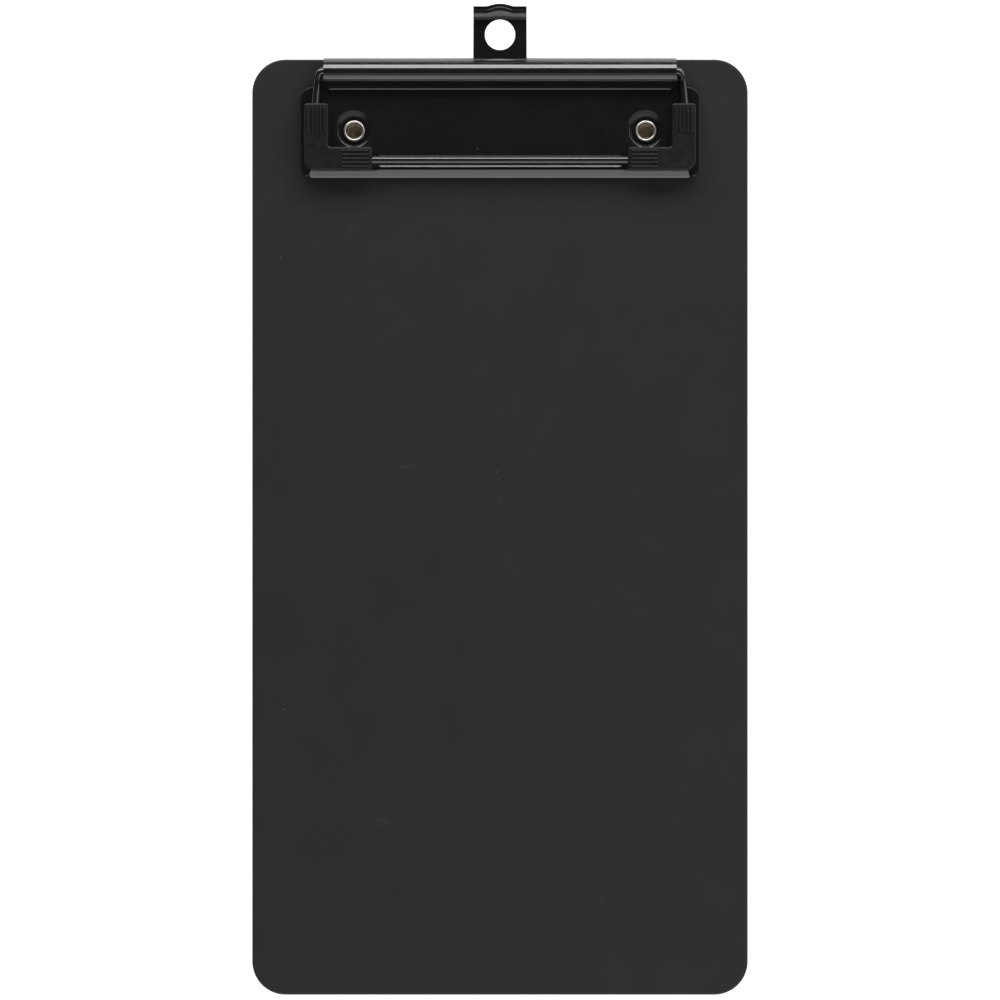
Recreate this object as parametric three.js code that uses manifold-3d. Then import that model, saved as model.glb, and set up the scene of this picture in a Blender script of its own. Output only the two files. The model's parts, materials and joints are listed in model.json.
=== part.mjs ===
// A slim clipboard: a plastic board with a sheet-metal wire clip riveted along its top edge.
// Millimetres. +Z is the writing side, +Y points to the clip, the origin is the centre of the board's back.
import * as THREE from "three";
import { mergeVertices } from "three/addons/utils/BufferGeometryUtils.js";
import Module from "manifold-3d";

const wasm = await Module();
wasm.setup();

// Board
const BOARD_WIDTH = 124.5;
const BOARD_LENGTH = 235;
const BOARD_THICKNESS = 2.5;
const BOARD_CORNER = 8.4;
const BOARD_EDGE_ROUND = 0.4;

// The clip's own frame lies on the board's top face, at the lever's hinge line.
const HINGE_Y = 116.2;
const HINGE_HEIGHT = 2.4;
const HINGE_STUB_RADIUS = 0.5;
const HINGE_HOLE_RADIUS = 0.8;

// Base plate: an upside-down tray of steel sheet, y measured from the hinge line
const PLATE_HALF_WIDTH = 50;
const PLATE_FRONT = -28.6;
const PLATE_REAR = -5.9;
const PLATE_HEIGHT = 1.8;
const PLATE_SHEET = 0.8;
const PLATE_EDGE = 0.5;
const SIDE_RAMP = 1.2;
const FRONT_RAMP = 2.0;
const PLATE_CORNER = 2.9;
const SHOULDER_HALF_WIDTH = 45.2;
const SHOULDER_REAR = -4.0;
const SHOULDER_HEIGHT = 1.6;
const NECK_HALF_WIDTH = 42.7;
const NECK_REAR = -2.2;

// Ears at the neck's ends, each carrying a stub that the lever turns on
const EAR_THICKNESS = 0.7;
const EAR_RADIUS = 0.75;
const EAR_FRONT = -4.8;
const EAR_REAR = -2.1;
const EAR_FOOT = 1.2;
const EAR_BROW = [-1.6, 2.25];
const EAR_ARC = [-0.66 * Math.PI, 0.62 * Math.PI];

// Ridge along the plate's front, and the shallow groove behind it that the bail's bar lies over
const RIDGE_HALF_LENGTH = 31;
const RIDGE_HEIGHT = 1.95;
const RIDGE_FOOT = 1.3;
const RIDGE_CREST = 0.2;
const GROOVE_FLOOR = 1.45;
const GROOVE_REAR = -23.1;
const GROOVE_REAR_SLOPE = 0.35;

// Rivets and the dishes that they sit in
const RIVET_X = 36.6;
const RIVET_Y = -16.8;
const DISH_TOP_RADIUS = 5.5;
const DISH_STEP_RADIUS = 4.1;
const DISH_STEP_HEIGHT = 1.5;
const DISH_FLOOR_RADIUS = 3.8;
const DISH_SHEET = 0.9;
const RIVET_HOLE_RADIUS = 2.4;
const RIVET_SHANK_RADIUS = 2.2;
const RIVET_BORE_RADIUS = 1.95;
const RIVET_COLLAR_RADIUS = 2.7;
const RIVET_HEAD_RADIUS = 4;
const RIVET_HEAD_HEIGHT = 0.7;
const RIVET_SINK = 0.1;
const RIVET_COLLAR_HEIGHT = 0.75;
const RIVET_RECESS_RADIUS = 4.4;
const RIVET_RECESS_DEPTH = 1.1;

// Lever: a sheet-steel hood with a finger flange, (y, z) measured from its hinge
const LEVER_HALF_LENGTH = 44.2;
const LEVER_SHEET = 0.6;
const HOOD_FRONT = -4.3;
const HOOD_NOSE = 1.9;
const HOOD_NOSE_PULL = 0.55;
const CROWN_Y = -2.2;
const CROWN_Z = 3.1;
const CROWN_PULL_FRONT = 1.0;
const CROWN_PULL_REAR = 0.9;
const HOOD_REAR = 1.6;
const HOOD_REAR_PULL = 1.5;
const HOOD_REAR_EDGE = -0.7;
const FLANGE_TOP = 1.0;
const FLANGE_FRONT = -6.6;
const FLANGE_HALF_LENGTH = 43.9;
const FLANGE_CORNER = 2.0;

// Cheeks that close the hood's ends
const CHEEK_OUTER_X = 43.6;
const CHEEK_REACH = 1.25;
const CHEEK_CHIN = [-3.0, -0.9];
const CHEEK_ARC = [-0.62 * Math.PI, -0.12 * Math.PI];

// Bail: a spring-wire frame whose legs turn inside the lever, measured from the legs' axis
const BAIL_Y = -2.0;
const BAIL_Z = 1.3;
const WIRE_RADIUS = 0.95;
const WIRE_CLEARANCE = 0.25;
const WIRE_SIDES = 10;
const LEG_HOLE_CLEARANCE = 0.2;

// Half the wire's centre line, (x, y, z) from the legs' axis: straight leg, bend, dip, arm, bend, bar.
// Points between the straight parts are the ends and controls of quadratic curves.
const BAIL_HALF = [
  [36.5, 0, 0],
  [44.1, 0, 0],
  [45.4, 0, 0],
  [45.6, -1.4, -0.4],
  [45.82, -2.94, -0.85],
  [46.1, -5.6, -0.45],
  [46.38, -8.26, -0.05],
  [46.5, -12.5, 0],
  [46.2, -19.25, -0.25],
  [46.2, -22.25, -0.25],
  [43.2, -22.25, -0.25],
];

// Corner grips on the bail
const GRIP_OUTER_X = 49.05;
const GRIP_ARM = 6.05;
const GRIP_INNER_X = 32;
const GRIP_FRONT = -24.8;
const GRIP_REAR = -8.05;
const GRIP_BAR_ARM = 5.8;
const GRIP_CORNER = 2.6;
const GRIP_SMALL_CORNER = 0.7;
const GRIP_INSIDE_CORNER = 0.6;
const GRIP_BOTTOM = -1.8;
const GRIP_TOP = 1.3;
const GRIP_EDGE_ROUND = 0.4;
const RIB_PITCH = 1.0;
const RIB_WIDTH = 0.5;
const RIB_HEIGHT = 0.3;
const RIB_LENGTH = 6.8;
const RIB_COUNT = 5;
const RIB_MARGIN = 0.8;
const RIB_ROOT = 0.2;

// Hanger: a flat strip that slides out from under the base plate
const HANGER_HALF_WIDTH = 6.7;
const HANGER_SHEET = 0.45;
const HANGER_LIFT = 0.05;
const HANGER_HOLE_RADIUS = 3.82;
const HANGER_HOLE_Y = 7.4;
const HANGER_LIP_Y = 14.3;
const HANGER_LIP_HEIGHT = 3.85;
const HANGER_BEND = 3.6;
const HANGER_BULGE = 0.64;
const HANGER_BULGE_HALF_WIDTH = 3.3;
const HANGER_STOP_HALF_WIDTH = 9;
const HANGER_STOP_FRONT = -5.6;
const HANGER_STOP_REAR = -3.3;
const HANGER_STOP_FRONT_CORNER = 0.6;
const HANGER_STOP_REAR_CORNER = 0.3;
const HANGER_SMALL_CORNER = 0.1;
const HANGER_SLOT_CLEARANCE = 0.4;

// How far a cutter runs past a face, and how far one block runs into another that it is joined to
const PAST = 1;
const OVERLAP = 4;

const SIDES = [-1, 1];

const PAINT = { roughness: 0.22, metalness: 0.1 };
const NICKEL = { color: 0xb9b5ab, roughness: 0.35, metalness: 1 };

function toSolid(geometry) {
  const bare = geometry.clone();
  bare.deleteAttribute("normal");
  bare.deleteAttribute("uv");
  const merged = mergeVertices(bare, 1e-5);
  const vertProperties = new Float32Array(merged.attributes.position.array);
  const triVerts = new Uint32Array(merged.index.array);
  return new wasm.Manifold(new wasm.Mesh({ numProp: 3, vertProperties, triVerts }));
}

function toGeometry(solid) {
  const { vertProperties, triVerts } = solid.getMesh();
  const geometry = new THREE.BufferGeometry();
  geometry.setAttribute("position", new THREE.BufferAttribute(vertProperties, 3));
  geometry.setIndex(new THREE.BufferAttribute(triVerts, 1));
  geometry.computeVertexNormals();
  return geometry;
}

function join(...geometries) {
  return geometries.map(toSolid).reduce((whole, piece) => whole.add(piece));
}

function cut(solid, ...geometries) {
  return geometries.map(toSolid).reduce((rest, tool) => rest.subtract(tool), solid);
}

// The two x values of a piece on one side of the middle, in rising order.
function sideRange(side, near, far) {
  return [side * near, side * far].sort((a, b) => a - b);
}

function box(x0, x1, y0, y1, z0, z1) {
  const geometry = new THREE.BoxGeometry(x1 - x0, y1 - y0, z1 - z0);
  return geometry.translate((x0 + x1) / 2, (y0 + y1) / 2, (z0 + z1) / 2);
}

// A rod along Z; two radii make a frustum.
function rod(x, y, z0, z1, bottomRadius, topRadius = bottomRadius, sides = 32) {
  const geometry = new THREE.CylinderGeometry(topRadius, bottomRadius, z1 - z0, sides);
  return geometry.rotateX(Math.PI / 2).translate(x, y, (z0 + z1) / 2);
}

// A rod along X.
function crossRod(x0, x1, y, z, radius, sides = 20) {
  const geometry = new THREE.CylinderGeometry(radius, radius, x1 - x0, sides);
  return geometry.rotateZ(Math.PI / 2).translate((x0 + x1) / 2, y, z);
}

// A solid turned about Z from (radius, height) points, from the axis at its bottom to the axis at its top.
function turned(points, sides) {
  const profile = points.map(([radius, height]) => new THREE.Vector2(radius, height));
  return new THREE.LatheGeometry(profile, sides).rotateX(Math.PI / 2);
}

// Extrudes a shape drawn in (y, z) along X.
function extrudeAlongX(shape, x0, x1, curveSegments = 12) {
  const geometry = new THREE.ExtrudeGeometry(shape, { depth: x1 - x0, bevelEnabled: false, curveSegments });
  const turn = new THREE.Matrix4().makeBasis(
    new THREE.Vector3(0, 1, 0),
    new THREE.Vector3(0, 0, 1),
    new THREE.Vector3(1, 0, 0),
  );
  return geometry.applyMatrix4(turn).translate(x0, 0, 0);
}

// Extrudes a shape drawn in (x, y) upwards.
function extrudeUp(shape, z0, z1, curveSegments = 8) {
  const geometry = new THREE.ExtrudeGeometry(shape, { depth: z1 - z0, bevelEnabled: false, curveSegments });
  return geometry.translate(0, 0, z0);
}

// Extrudes a shape upwards with its top and bottom edges rounded inside its outline.
function extrudeRounded(shape, z0, z1, round, curveSegments) {
  const geometry = new THREE.ExtrudeGeometry(shape, {
    depth: z1 - z0 - 2 * round,
    bevelThickness: round,
    bevelSize: round,
    bevelOffset: -round,
    bevelSegments: 2,
    curveSegments,
  });
  return geometry.translate(0, 0, z0 + round);
}

function roundedRectangle(halfWidth, y0, y1, radius) {
  const shape = new THREE.Shape();
  shape.absarc(halfWidth - radius, y0 + radius, radius, -Math.PI / 2, 0);
  shape.absarc(halfWidth - radius, y1 - radius, radius, 0, Math.PI / 2);
  shape.absarc(radius - halfWidth, y1 - radius, radius, Math.PI / 2, Math.PI);
  shape.absarc(radius - halfWidth, y0 + radius, radius, Math.PI, Math.PI * 1.5);
  shape.closePath();
  return shape;
}

// A polygon whose corners are rounded, each by its own radius.
function roundedPolygon(corners) {
  const shape = new THREE.Shape();
  corners.forEach(([x, y, radius], i) => {
    const here = new THREE.Vector2(x, y);
    const before = new THREE.Vector2(...corners.at(i - 1).slice(0, 2)).sub(here).normalize();
    const after = new THREE.Vector2(...corners[(i + 1) % corners.length].slice(0, 2)).sub(here).normalize();
    const start = here.clone().addScaledVector(before, radius);
    const end = here.clone().addScaledVector(after, radius);
    if (i === 0) {
      shape.moveTo(start.x, start.y);
    } else {
      shape.lineTo(start.x, start.y);
    }
    shape.quadraticCurveTo(here.x, here.y, end.x, end.y);
  });
  shape.closePath();
  return shape;
}

// A block lofted through rounded rectangles, each [half width, y0, y1, radius, z], from the bottom up.
function loftedBlock(levels) {
  const rings = levels.map(([halfWidth, y0, y1, radius]) => (
    roundedRectangle(halfWidth, y0, y1, radius).extractPoints(6).shape.slice(0, -1)
  ));
  const count = rings[0].length;
  const points = rings.flatMap((ring, level) => ring.map((p) => [p.x, p.y, levels[level][4]]));
  const index = [];
  for (let level = 0; level < rings.length - 1; level += 1) {
    const low = level * count;
    const high = low + count;
    for (let i = 0; i < count; i += 1) {
      const next = (i + 1) % count;
      index.push(low + i, low + next, high + next, low + i, high + next, high + i);
    }
  }
  for (const [a, b, c] of THREE.ShapeUtils.triangulateShape(rings[0], [])) {
    index.push(a, c, b);
  }
  const last = (rings.length - 1) * count;
  for (const [a, b, c] of THREE.ShapeUtils.triangulateShape(rings.at(-1), [])) {
    index.push(last + a, last + b, last + c);
  }
  const geometry = new THREE.BufferGeometry();
  geometry.setAttribute("position", new THREE.Float32BufferAttribute(points.flat(), 3));
  geometry.setIndex(index);
  return geometry;
}

function makeMesh(name, geometry, material) {
  const mesh = new THREE.Mesh(geometry, new THREE.MeshStandardMaterial(material));
  mesh.name = name;
  return mesh;
}

function makeBoard() {
  const outline = roundedRectangle(BOARD_WIDTH / 2, -BOARD_LENGTH / 2, BOARD_LENGTH / 2, BOARD_CORNER);
  const slab = toSolid(extrudeRounded(outline, 0, BOARD_THICKNESS, BOARD_EDGE_ROUND, 8));
  const rivetY = HINGE_Y + RIVET_Y;
  const holes = SIDES.map((side) => side * RIVET_X).flatMap((x) => [
    rod(x, rivetY, -PAST, BOARD_THICKNESS + PAST, RIVET_HOLE_RADIUS),
    rod(x, rivetY, -PAST, RIVET_RECESS_DEPTH, RIVET_RECESS_RADIUS),
  ]);
  return makeMesh("board", toGeometry(cut(slab, ...holes)), {
    color: 0x2f2f31,
    roughness: 0.55,
    metalness: 0,
  });
}

// The ear that carries one hinge stub, drawn in (y, z).
function earShape() {
  const shape = new THREE.Shape();
  const [lowest, highest] = EAR_ARC;
  shape.moveTo(EAR_FRONT, EAR_FOOT);
  shape.lineTo(EAR_REAR, EAR_FOOT);
  shape.lineTo(EAR_RADIUS * Math.cos(lowest), HINGE_HEIGHT + EAR_RADIUS * Math.sin(lowest));
  shape.absarc(0, HINGE_HEIGHT, EAR_RADIUS, lowest, highest, false);
  shape.lineTo(...EAR_BROW);
  shape.lineTo(EAR_FRONT, PLATE_HEIGHT);
  shape.closePath();
  return shape;
}

// The ridge continues the front ramp upwards, and falls at 45 degrees into the groove.
function ridgeCrestFront() {
  return PLATE_FRONT + ((RIDGE_HEIGHT - PLATE_EDGE) * FRONT_RAMP) / (PLATE_HEIGHT - PLATE_EDGE);
}

function ridgeShape() {
  const rampSlope = (PLATE_HEIGHT - PLATE_EDGE) / FRONT_RAMP;
  const crestFront = ridgeCrestFront();
  const crestRear = crestFront + RIDGE_CREST;
  return new THREE.Shape([
    new THREE.Vector2(PLATE_FRONT + (RIDGE_FOOT - PLATE_EDGE) / rampSlope, RIDGE_FOOT),
    new THREE.Vector2(crestRear + RIDGE_HEIGHT - RIDGE_FOOT, RIDGE_FOOT),
    new THREE.Vector2(crestRear, RIDGE_HEIGHT),
    new THREE.Vector2(crestFront, RIDGE_HEIGHT),
  ]);
}

function grooveShape() {
  const crestRear = ridgeCrestFront() + RIDGE_CREST;
  const above = PLATE_HEIGHT + 0.1;
  return new THREE.Shape([
    new THREE.Vector2(crestRear + RIDGE_HEIGHT - GROOVE_FLOOR, GROOVE_FLOOR),
    new THREE.Vector2(GROOVE_REAR, GROOVE_FLOOR),
    new THREE.Vector2(GROOVE_REAR + GROOVE_REAR_SLOPE, above),
    new THREE.Vector2(crestRear + RIDGE_HEIGHT - above, above),
  ]);
}

// The plate's outline moved in by the given insets at one height.
function plateLevel(sideInset, frontInset, z) {
  return [
    PLATE_HALF_WIDTH - sideInset,
    PLATE_FRONT + frontInset,
    PLATE_REAR - sideInset,
    PLATE_CORNER - sideInset,
    z,
  ];
}

function makeBasePlate() {
  const under = PLATE_HEIGHT - PLATE_SHEET;
  const hollowShare = under / (PLATE_HEIGHT - PLATE_EDGE);
  const tray = loftedBlock([
    plateLevel(0, 0, 0),
    plateLevel(0, 0, PLATE_EDGE),
    plateLevel(SIDE_RAMP, FRONT_RAMP, PLATE_HEIGHT),
  ]);
  const hollow = loftedBlock([
    plateLevel(PLATE_SHEET, PLATE_SHEET, -PAST),
    plateLevel(PLATE_SHEET, PLATE_SHEET, 0),
    plateLevel(PLATE_SHEET + SIDE_RAMP * hollowShare, PLATE_SHEET + FRONT_RAMP * hollowShare, under),
  ]);
  const root = PLATE_REAR - OVERLAP;
  const shoulder = box(
    -SHOULDER_HALF_WIDTH, SHOULDER_HALF_WIDTH, root, SHOULDER_REAR, 0, SHOULDER_HEIGHT,
  );
  const neck = box(-NECK_HALF_WIDTH, NECK_HALF_WIDTH, root, NECK_REAR, 0, PLATE_HEIGHT);
  const neckHollowX = NECK_HALF_WIDTH - EAR_THICKNESS;
  const neckHollowRear = NECK_REAR - PLATE_SHEET;
  const neckHollow = box(-neckHollowX, neckHollowX, root - PAST, neckHollowRear, -PAST, under);
  const slotX = HANGER_HALF_WIDTH + HANGER_SLOT_CLEARANCE;
  const slot = box(-slotX, slotX, neckHollowRear - PAST, NECK_REAR + PAST, -PAST, under);
  let solid = cut(join(tray, shoulder, neck), hollow, neckHollow, slot);
  solid = solid.add(toSolid(extrudeAlongX(ridgeShape(), -RIDGE_HALF_LENGTH, RIDGE_HALF_LENGTH)));
  solid = cut(solid, extrudeAlongX(grooveShape(), -RIDGE_HALF_LENGTH, RIDGE_HALF_LENGTH));
  for (const side of SIDES) {
    const x = side * RIVET_X;
    const earX = sideRange(side, NECK_HALF_WIDTH - EAR_THICKNESS, NECK_HALF_WIDTH);
    const stubX = sideRange(side, NECK_HALF_WIDTH - EAR_THICKNESS / 2, CHEEK_OUTER_X);
    const ear = extrudeAlongX(earShape(), ...earX, 10);
    const stub = crossRod(...stubX, 0, HINGE_HEIGHT, HINGE_STUB_RADIUS);
    const boss = rod(
      x, RIVET_Y, 0, PLATE_HEIGHT - 0.1, DISH_FLOOR_RADIUS + DISH_SHEET, DISH_TOP_RADIUS + DISH_SHEET,
    );
    const dish = turned([
      [0, PLATE_SHEET],
      [DISH_FLOOR_RADIUS, PLATE_SHEET],
      [DISH_STEP_RADIUS, DISH_STEP_HEIGHT],
      [DISH_TOP_RADIUS, PLATE_HEIGHT],
      [DISH_TOP_RADIUS, PLATE_HEIGHT + PAST],
      [0, PLATE_HEIGHT + PAST],
    ], 32).translate(x, RIVET_Y, 0);
    const hole = rod(x, RIVET_Y, -PAST, PLATE_HEIGHT, RIVET_HOLE_RADIUS);
    solid = cut(solid.add(join(ear, stub, boss)), dish, hole);
  }
  return makeMesh("base_plate", toGeometry(solid), { color: 0x161616, ...PAINT });
}

// The hood's outer face as points (y, z): up the front wall, over the crown and down the rear.
function hoodLine() {
  const path = new THREE.Path();
  path.moveTo(HOOD_FRONT, FLANGE_TOP - LEVER_SHEET);
  path.lineTo(HOOD_FRONT, HOOD_NOSE);
  path.bezierCurveTo(
    HOOD_FRONT, HOOD_NOSE + HOOD_NOSE_PULL, CROWN_Y - CROWN_PULL_FRONT, CROWN_Z, CROWN_Y, CROWN_Z,
  );
  path.bezierCurveTo(
    CROWN_Y + CROWN_PULL_REAR, CROWN_Z, HOOD_REAR, HOOD_REAR_PULL, HOOD_REAR, HOOD_REAR_EDGE,
  );
  return path.getPoints(10);
}

// The line moved towards the inside of the hood, which lies to the right of its direction.
function movedInside(line, distance) {
  return line.map((point, i) => {
    const before = line[Math.max(i - 1, 0)];
    const after = line[Math.min(i + 1, line.length - 1)];
    const along = after.clone().sub(before).normalize();
    return new THREE.Vector2(point.x + along.y * distance, point.y - along.x * distance);
  });
}

function hoodShape() {
  const outer = hoodLine();
  return new THREE.Shape([...movedInside(outer, LEVER_SHEET).reverse(), ...outer]);
}

// One end cheek, drawn in (y, z) from the hinge; its upper edge runs inside the hood's sheet.
function cheekShape() {
  const shape = new THREE.Shape();
  const middle = LEVER_SHEET / 2;
  const upperEdge = movedInside(hoodLine(), middle).slice(1).reverse();
  const [lowest, last] = CHEEK_ARC;
  shape.moveTo(HOOD_FRONT + middle, FLANGE_TOP - middle);
  shape.lineTo(...CHEEK_CHIN);
  shape.absarc(0, 0, CHEEK_REACH, lowest, last, false);
  for (const point of upperEdge.filter((p) => p.y > CHEEK_REACH * Math.sin(last))) {
    shape.lineTo(point.x, point.y);
  }
  shape.closePath();
  return shape;
}

function makeLever() {
  const hood = extrudeAlongX(hoodShape(), -LEVER_HALF_LENGTH, LEVER_HALF_LENGTH);
  const flangeRear = HOOD_FRONT + LEVER_SHEET / 2;
  const flangeOutline = roundedPolygon([
    [-FLANGE_HALF_LENGTH, FLANGE_FRONT, FLANGE_CORNER],
    [FLANGE_HALF_LENGTH, FLANGE_FRONT, FLANGE_CORNER],
    [FLANGE_HALF_LENGTH, flangeRear, 0.1],
    [-FLANGE_HALF_LENGTH, flangeRear, 0.1],
  ]);
  const flange = extrudeUp(flangeOutline, FLANGE_TOP - LEVER_SHEET, FLANGE_TOP);
  let solid = join(hood, flange);
  for (const side of SIDES) {
    const [x0, x1] = sideRange(side, CHEEK_OUTER_X - LEVER_SHEET, CHEEK_OUTER_X);
    solid = solid.add(toSolid(extrudeAlongX(cheekShape(), x0, x1)));
    const stubHole = crossRod(x0 - 0.2, x1 + 0.2, 0, 0, HINGE_HOLE_RADIUS);
    const legHole = crossRod(x0 - 0.2, x1 + 0.2, BAIL_Y, BAIL_Z, WIRE_RADIUS + LEG_HOLE_CLEARANCE);
    solid = cut(solid, stubHole, legHole);
  }
  return makeMesh("lever", toGeometry(solid), { color: 0x1a1a1b, ...PAINT });
}

// The wire's centre line: leg, arm, front bar, arm, leg. Each arm dips behind its grip and rises into it.
function bailPath() {
  const half = (side) => BAIL_HALF.map(([x, y, z]) => new THREE.Vector3(side * x, y, z));
  const left = half(-1);
  const right = half(1).reverse();
  const path = new THREE.CurvePath();
  path.add(new THREE.LineCurve3(left[0], left[1]));
  path.add(new THREE.QuadraticBezierCurve3(left[1], left[2], left[3]));
  path.add(new THREE.QuadraticBezierCurve3(left[3], left[4], left[5]));
  path.add(new THREE.QuadraticBezierCurve3(left[5], left[6], left[7]));
  path.add(new THREE.LineCurve3(left[7], left[8]));
  path.add(new THREE.QuadraticBezierCurve3(left[8], left[9], left[10]));
  path.add(new THREE.LineCurve3(left[10], right[0]));
  path.add(new THREE.QuadraticBezierCurve3(right[0], right[1], right[2]));
  path.add(new THREE.LineCurve3(right[2], right[3]));
  path.add(new THREE.QuadraticBezierCurve3(right[3], right[4], right[5]));
  path.add(new THREE.QuadraticBezierCurve3(right[5], right[6], right[7]));
  path.add(new THREE.QuadraticBezierCurve3(right[7], right[8], right[9]));
  path.add(new THREE.LineCurve3(right[9], right[10]));
  return path;
}

// A full arc is drawn with two chords per curve segment.
function wireAlongPath(radius, curveSegments) {
  const section = new THREE.Shape();
  section.absarc(0, 0, radius, 0, Math.PI * 2);
  return new THREE.ExtrudeGeometry(section, {
    extrudePath: bailPath(),
    steps: 96,
    curveSegments,
    bevelEnabled: false,
  });
}

function makeBailWire() {
  return makeMesh("bail_wire", wireAlongPath(WIRE_RADIUS, WIRE_SIDES / 2), { color: 0x262626, ...PAINT });
}

function makeCornerGrip(name, side) {
  const innerArm = GRIP_OUTER_X - GRIP_ARM;
  const rearOfBar = GRIP_FRONT + GRIP_BAR_ARM;
  const outline = roundedPolygon([
    [side * GRIP_OUTER_X, GRIP_FRONT, GRIP_CORNER],
    [side * GRIP_OUTER_X, GRIP_REAR, GRIP_SMALL_CORNER],
    [side * innerArm, GRIP_REAR, GRIP_SMALL_CORNER],
    [side * innerArm, rearOfBar, GRIP_INSIDE_CORNER],
    [side * GRIP_INNER_X, rearOfBar, GRIP_SMALL_CORNER],
    [side * GRIP_INNER_X, GRIP_FRONT, GRIP_SMALL_CORNER],
  ]);
  const body = extrudeRounded(outline, GRIP_BOTTOM, GRIP_TOP, GRIP_EDGE_ROUND, 6);
  const ribAlongX = sideRange(side, GRIP_INNER_X + RIB_MARGIN, GRIP_INNER_X + RIB_MARGIN + RIB_LENGTH);
  const ribAlongY = [GRIP_REAR - RIB_MARGIN - RIB_LENGTH, GRIP_REAR - RIB_MARGIN];
  const ribHeights = [GRIP_TOP - RIB_ROOT, GRIP_TOP + RIB_HEIGHT];
  const ribs = [];
  for (let i = 0; i < RIB_COUNT; i += 1) {
    const offset = (i - (RIB_COUNT - 1) / 2) * RIB_PITCH;
    const y = (GRIP_FRONT + rearOfBar) / 2 + offset;
    const x = (side * (innerArm + GRIP_OUTER_X)) / 2 + offset;
    ribs.push(box(...ribAlongX, y - RIB_WIDTH / 2, y + RIB_WIDTH / 2, ...ribHeights));
    ribs.push(box(x - RIB_WIDTH / 2, x + RIB_WIDTH / 2, ...ribAlongY, ...ribHeights));
  }
  const channel = wireAlongPath(WIRE_RADIUS + WIRE_CLEARANCE, WIRE_SIDES / 2);
  return makeMesh(name, toGeometry(cut(join(body, ...ribs), channel)), {
    color: 0x29292a,
    roughness: 0.5,
    metalness: 0,
  });
}

// The strip's end bent up into a lip, bulged backwards in its middle as a finger catch.
function lipGeometry() {
  const bottom = HANGER_LIFT;
  const bendCentreY = HANGER_LIP_Y - HANGER_BEND;
  const bendCentreZ = bottom + HANGER_BEND;
  const innerBend = HANGER_BEND - HANGER_SHEET;
  const bendSteps = 10;
  const wallSteps = 1;
  const profile = [[bendCentreY - 0.4, bottom, bendCentreY - 0.4, bottom + HANGER_SHEET]];
  for (let i = 0; i <= bendSteps; i += 1) {
    const angle = (i / bendSteps) * (Math.PI / 2);
    profile.push([
      bendCentreY + HANGER_BEND * Math.sin(angle), bendCentreZ - HANGER_BEND * Math.cos(angle),
      bendCentreY + innerBend * Math.sin(angle), bendCentreZ - innerBend * Math.cos(angle),
    ]);
  }
  for (let i = 1; i <= wallSteps; i += 1) {
    const z = bendCentreZ + (i / wallSteps) * (HANGER_LIP_HEIGHT - bendCentreZ);
    profile.push([HANGER_LIP_Y, z, HANGER_LIP_Y - HANGER_SHEET, z]);
  }
  const columns = 24;
  const rows = profile.length;
  const bulgeAt = (x, z) => {
    const across = Math.max(0, 1 - Math.abs(x) / HANGER_BULGE_HALF_WIDTH);
    const up = Math.max(0, (z - bottom - HANGER_SHEET) / (HANGER_LIP_HEIGHT - bottom - HANGER_SHEET));
    return HANGER_BULGE * Math.sin((across * Math.PI) / 2) * Math.sin((Math.min(1, up) * Math.PI) / 2);
  };
  const points = [];
  for (const face of [0, 2]) {
    for (let c = 0; c <= columns; c += 1) {
      const x = -HANGER_HALF_WIDTH + (c / columns) * 2 * HANGER_HALF_WIDTH;
      for (const row of profile) {
        points.push(x, row[face] + bulgeAt(x, row[face + 1]), row[face + 1]);
      }
    }
  }
  const at = (face, c, r) => face * (columns + 1) * rows + c * rows + r;
  const index = [];
  const quad = (a, b, c, d) => index.push(a, b, c, a, c, d);
  for (let c = 0; c < columns; c += 1) {
    for (let r = 0; r < rows - 1; r += 1) {
      quad(at(0, c, r), at(0, c, r + 1), at(0, c + 1, r + 1), at(0, c + 1, r));
      quad(at(1, c, r), at(1, c + 1, r), at(1, c + 1, r + 1), at(1, c, r + 1));
    }
    quad(at(0, c, 0), at(0, c + 1, 0), at(1, c + 1, 0), at(1, c, 0));
    quad(at(0, c, rows - 1), at(1, c, rows - 1), at(1, c + 1, rows - 1), at(0, c + 1, rows - 1));
  }
  for (let r = 0; r < rows - 1; r += 1) {
    quad(at(0, 0, r), at(1, 0, r), at(1, 0, r + 1), at(0, 0, r + 1));
    quad(at(0, columns, r), at(0, columns, r + 1), at(1, columns, r + 1), at(1, columns, r));
  }
  const geometry = new THREE.BufferGeometry();
  geometry.setAttribute("position", new THREE.Float32BufferAttribute(points, 3));
  geometry.setIndex(index);
  return geometry;
}

function makeHanger() {
  const stripEnd = HANGER_LIP_Y - HANGER_BEND;
  const outline = roundedPolygon([
    [-HANGER_STOP_HALF_WIDTH, HANGER_STOP_FRONT, HANGER_STOP_FRONT_CORNER],
    [HANGER_STOP_HALF_WIDTH, HANGER_STOP_FRONT, HANGER_STOP_FRONT_CORNER],
    [HANGER_STOP_HALF_WIDTH, HANGER_STOP_REAR, HANGER_STOP_REAR_CORNER],
    [HANGER_HALF_WIDTH, HANGER_STOP_REAR, HANGER_SMALL_CORNER],
    [HANGER_HALF_WIDTH, stripEnd, HANGER_SMALL_CORNER],
    [-HANGER_HALF_WIDTH, stripEnd, HANGER_SMALL_CORNER],
    [-HANGER_HALF_WIDTH, HANGER_STOP_REAR, HANGER_SMALL_CORNER],
    [-HANGER_STOP_HALF_WIDTH, HANGER_STOP_REAR, HANGER_STOP_REAR_CORNER],
  ]);
  const strip = extrudeUp(outline, HANGER_LIFT, HANGER_LIFT + HANGER_SHEET);
  const hole = rod(0, HANGER_HOLE_Y, -PAST, PAST, HANGER_HOLE_RADIUS, HANGER_HOLE_RADIUS, 40);
  return makeMesh("hanger", toGeometry(cut(join(strip, lipGeometry()), hole)), { color: 0x181818, ...PAINT });
}

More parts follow.
